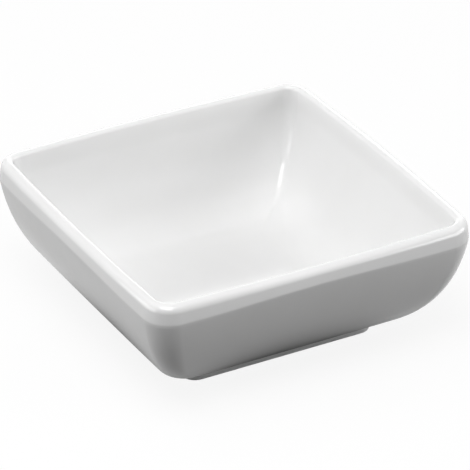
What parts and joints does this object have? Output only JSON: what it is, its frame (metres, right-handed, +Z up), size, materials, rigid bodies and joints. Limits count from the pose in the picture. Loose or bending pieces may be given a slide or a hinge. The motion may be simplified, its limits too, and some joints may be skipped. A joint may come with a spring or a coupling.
{
  "type": "square sauce dish",
  "caption": "Small deep square melamine dish with rounded corners, a rolled lip, walls that curve in to a low foot, and a glossy glaze over the food side.",
  "frame": {"origin": "on the table, under the middle of the dish", "axes": "+Z up through the middle of the dish, +X and +Y square to its sides"},
  "size_m": [0.085, 0.085, 0.0322],
  "materials": {
    "melamine_body": "white, polished from the mould",
    "melamine_glaze": "white, high gloss"
  },
  "bodies": {
    "root": {"moulded_body": "melamine_body", "glaze_layer": "melamine_glaze"}
  },
  "joints": []
}
